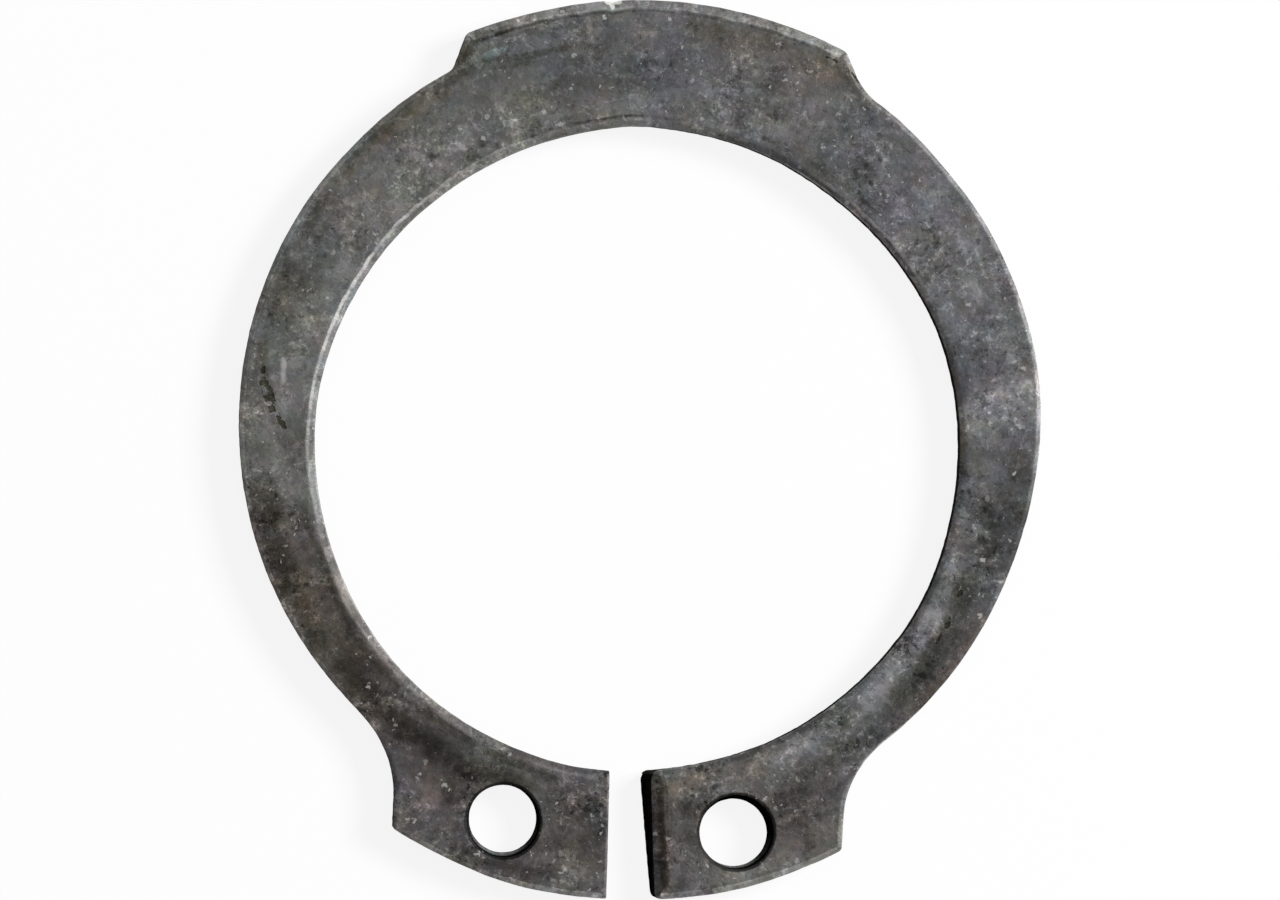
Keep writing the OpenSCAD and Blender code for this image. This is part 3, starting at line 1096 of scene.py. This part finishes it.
def steel():
    """The faces: dark phosphated steel with stains, scuffs, specks and worn edges, and painted light and
    shade on the rolled edges.
    """
    s = Shader("phosphated_spring_steel")
    tone, busy, relief = mottled(s)
    tone, red, blue, relief = marked(s, tone, *casts(s), relief)
    pits = s.specks(1.3, 0.09, 0.5, (8, 1))
    tone, worn = rolled_edges(s, s.vary(tone, pits, -0.45))
    scratched = s.times(s.between(s.attribute("scuff"), 1.2, 2), 0.35)
    bare = s.math("MAXIMUM", s.times(bright_specks(s), 0.6), worn, clamp=True)
    bare = s.math("MAXIMUM", bare, scratched)
    chalky = s.ragged_mark("chalky", fine_raggedness(s), 2, 0.3, 0.6)
    colour = s.mix(bare, tinted(s, tone, red, blue), bare_colour)
    return s.finish(s.put("ShaderNodeBsdfPrincipled", {
        "Base Color": s.mix(chalky, colour, chalk_colour),
        "Normal": relief,
        "Roughness": s.between_linear(busy, 0.2, 1.5, 0.5, 0.62),
        "Metallic": 0.45,
        "Specular IOR Level": 0.2,
    }))


def blanked_wall():
    """The cut edge: smooth with fine upright lines at its top, torn and matt below, with painted shade and
    painted light.
    """
    s = Shader("blanked_edge_steel")
    tone, _, relief = mottled(s)
    torn = s.between(s.attribute("wall"), 0.3, 0.55)
    lines = s.noise(9, 3, 0.6, shift=(4, 4, 4), stretch=(1, 1, 0.08))
    crumbs = s.noise(6, 4, 0.7, shift=(14, 2, 9))
    tone = s.vary(tone, s.between_linear(lines, 0.3, 0.7, -1, 1), 0.3)
    tone = s.vary(tone, torn, -0.3)
    # Painted shade and painted light on the walls, and painted light at the holes' feet
    tone = s.vary(tone, s.attribute("strip"), 1)
    relief = s.bump(lines, 0.012, relief)
    return s.finish(s.put("ShaderNodeBsdfPrincipled", {
        "Base Color": tinted(s, tone, *casts(s)),
        "Normal": s.bump(s.times(crumbs, torn), 0.04, relief),
        "Roughness": s.between_linear(torn, 0, 1, 0.6, 0.85),
        # Metallic where the painted light at the holes' feet is strong
        "Metallic": s.between(s.attribute("strip"), 0.6, 1.3),
        "Specular IOR Level": 0,
    }))


# Share of the floor's white that no shadow darkens
glow_share = 0.88
floor_half = 0.6


def white_floor():
    """White to the camera and in reflections, and grey to the light that it throws back on the ring."""
    s = Shader("white_floor")
    path = s.put("ShaderNodeLightPath").outputs
    seen = s.math("MAXIMUM", path["Is Camera Ray"], path["Is Glossy Ray"])
    seen = s.math("MAXIMUM", seen, path["Is Transmission Ray"])
    matte = s.put("ShaderNodeBsdfDiffuse", {"Color": s.mix(seen, shaded_floor, white)})
    glow = s.put("ShaderNodeEmission", {"Color": white, "Strength": 1})
    blend = {0: s.times(seen, glow_share), 1: matte.outputs[0], 2: glow.outputs[0]}
    return s.finish(s.put("ShaderNodeMixShader", blend))


def add_floor():
    mesh = bpy.data.meshes.new("floor")
    corners = [(floor_half * x, floor_half * y, 0) for x, y in ((-1, -1), (1, -1), (1, 1), (-1, 1))]
    mesh.from_pydata(corners, [], [(0, 1, 2, 3)])
    mesh.materials.append(white_floor())
    floor = add_object("floor", mesh)


# The camera looks down on the lying ring, a little from its left, with the ring turned in the picture
view_turn = 2.83
view_tilt = 3.4
camera_distance = 400
picture_width = 36.87
aim_right = 0.125
aim_up = -0.005


def camera_axes():
    turn = math.radians(view_turn)
    tilt = math.radians(view_tilt)
    right = Vector((math.cos(turn), math.sin(turn), 0))
    up = Vector((-math.sin(turn), math.cos(turn), 0))
    back = -math.sin(tilt) * right + math.cos(tilt) * Vector((0, 0, 1))
    return right, up, back


def add_camera():
    right, up, back = camera_axes()
    data = bpy.data.cameras.new("camera")
    data.sensor_width = 36
    data.lens = data.sensor_width * camera_distance / picture_width
    data.clip_start = 0.01
    data.clip_end = 10
    camera = add_object("camera", data)
    aim = Vector((0, 0, thickness / 2)) + aim_right * right + aim_up * up
    sideways = up.cross(back)
    rotation = Matrix((sideways, up, back)).transposed()
    camera.matrix_world = Matrix.Translation((aim + camera_distance * back) * MM) @ rotation.to_4x4()
    bpy.context.scene.camera = camera


def add_light(name, place, size, power):
    """A square area light that points at the ring."""
    data = bpy.data.lights.new(name, "AREA")
    data.size = size
    data.energy = power
    light = add_object(name, data)
    light.location = place
    light.rotation_euler = Vector(place).to_track_quat("Z", "Y").to_euler()


def add_world(strength):
    world = bpy.data.worlds.new("studio")
    world.use_nodes = True
    sky = world.node_tree.nodes["Background"].inputs
    sky["Color"].default_value = white
    sky["Strength"].default_value = strength
    bpy.context.scene.world = world


bpy.context.scene.view_settings.view_transform = "Standard"
add_camera()
add_floor()
# Places and sizes of the lights are in metres, and their power is in watts
add_light("key_light", place=(0.33, 0.14, 0.34), size=0.18, power=2.6)
add_light("fill_light", place=(0.02, 0.05, 0.5), size=0.4, power=0.35)
add_world(strength=0.1)

ring = ring_surface()
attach(ring, "root")
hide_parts(NODE)
